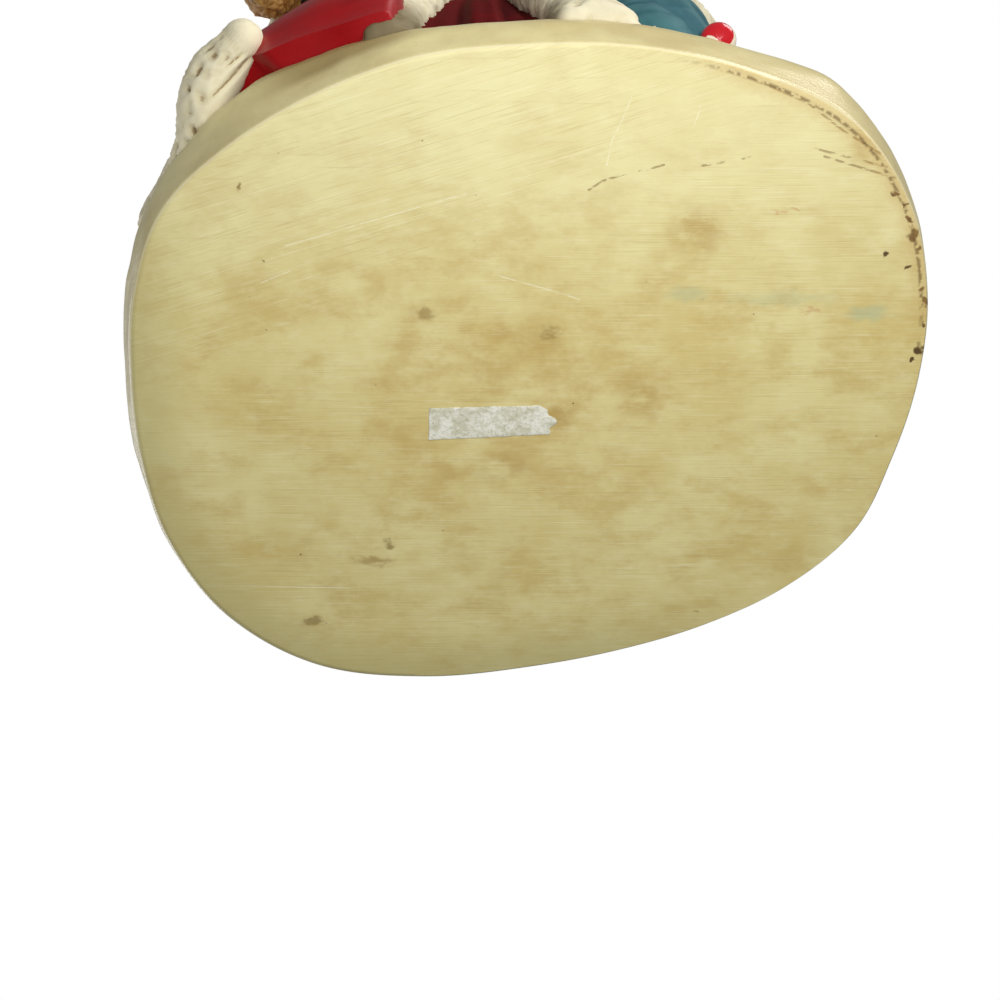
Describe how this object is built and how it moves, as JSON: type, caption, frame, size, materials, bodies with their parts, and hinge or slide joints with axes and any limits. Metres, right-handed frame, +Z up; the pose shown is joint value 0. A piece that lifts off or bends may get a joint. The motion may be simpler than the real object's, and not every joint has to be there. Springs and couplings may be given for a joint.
{
  "type": "resin santa figurine",
  "caption": "Painted resin santa standing on an oval snow base, with a long coat, a toy sack, a candy cane and a teddy bear.",
  "frame": {"origin": "middle of the flat underside", "axes": "+Z up, the figure faces -Y, and +X is on the viewer's right"},
  "size_m": [0.1088, 0.094, 0.213],
  "materials": {
    "cream_resin": "unpainted cast resin, sanded flat underneath, varnished on the side wall, and painted as snow on top",
    "red_paint": "bright red satin paint on the coat and hat, darker in the folds",
    "dark_red_paint": "dark red satin paint on the inner robe",
    "fur_paint": "off-white paint with a brown antique wash in the pits of the fur",
    "skin_paint": "flesh paint with rosy cheeks",
    "hair_paint": "white paint on beard and hair, with a grey-brown wash between the locks",
    "teal_paint": "teal paint on the toy sack, rubbed paler on the high places",
    "black_paint": "black satin paint on the mittens and the belt",
    "gold_paint": "gold paint on the buckle and the sack's rope",
    "candy_paint": "white gloss paint with red slanted stripes",
    "bear_paint": "golden brown paint with a dark wash between the tufts",
    "label_paper": "rest of a torn blank paper label, with dried glue beside it"
  },
  "bodies": {
    "root": {"santa_figurine": "cream_resin"}
  },
  "joints": []
}
